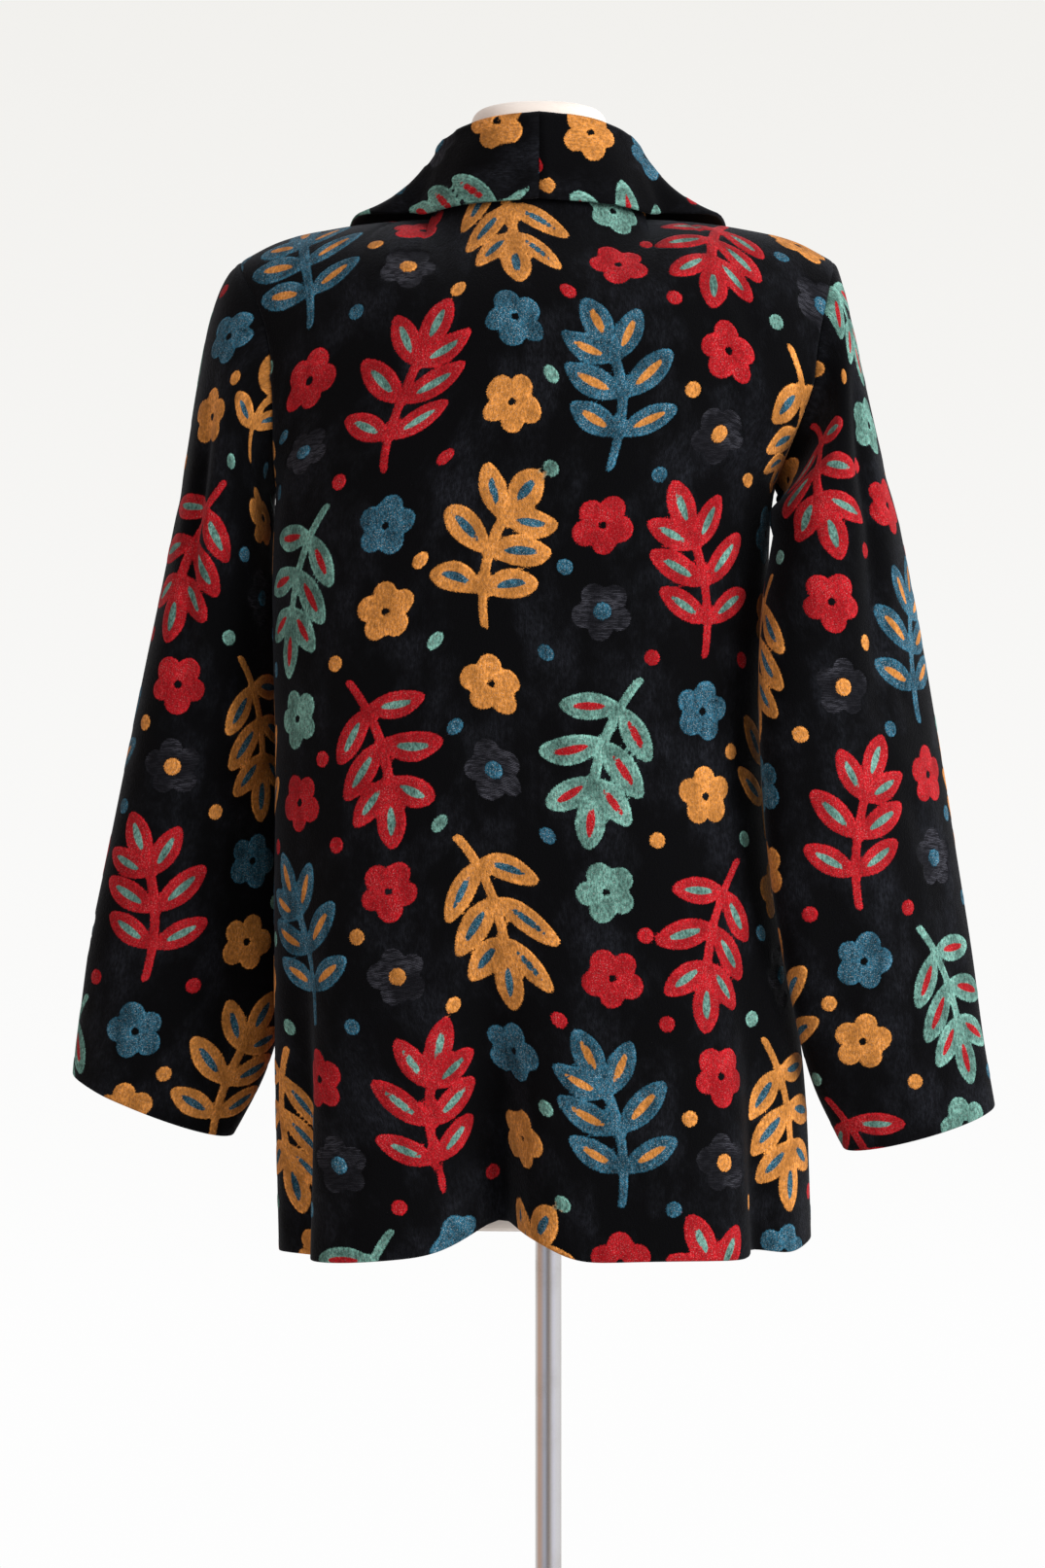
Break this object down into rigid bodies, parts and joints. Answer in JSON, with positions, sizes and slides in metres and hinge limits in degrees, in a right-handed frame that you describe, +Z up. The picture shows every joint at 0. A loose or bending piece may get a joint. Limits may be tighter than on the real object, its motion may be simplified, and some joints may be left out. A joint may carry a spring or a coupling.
{
  "type": "car coat on dress form",
  "caption": "Hip-length car coat in patterned black velvet with a wide shawl collar and open front, worn by a limbless dress form on a round pole stand.",
  "frame": {"origin": "centre of the stand's underside, on the floor and on the pole's axis", "axes": "+Z up, -Y out of the coat's back, +Y out of its front, +X towards the wearer's right"},
  "size_m": [0.6689, 0.35, 1.487],
  "materials": {
    "velvet": "cut velvet, black ground with a woven coloured pattern, soft dull nap",
    "form_cover": "close cream jersey stretched smooth over the form",
    "pole_metal": "polished",
    "base_metal": "satin grey enamel"
  },
  "bodies": {
    "root": {"back": "velvet", "collar_left": "velvet", "collar_right": "velvet", "form_torso": "form_cover", "front_left": "velvet", "front_right": "velvet", "sleeve_left": "velvet", "sleeve_right": "velvet", "stand_base": "base_metal", "stand_hub": "pole_metal", "stand_pole": "pole_metal"}
  },
  "joints": []
}
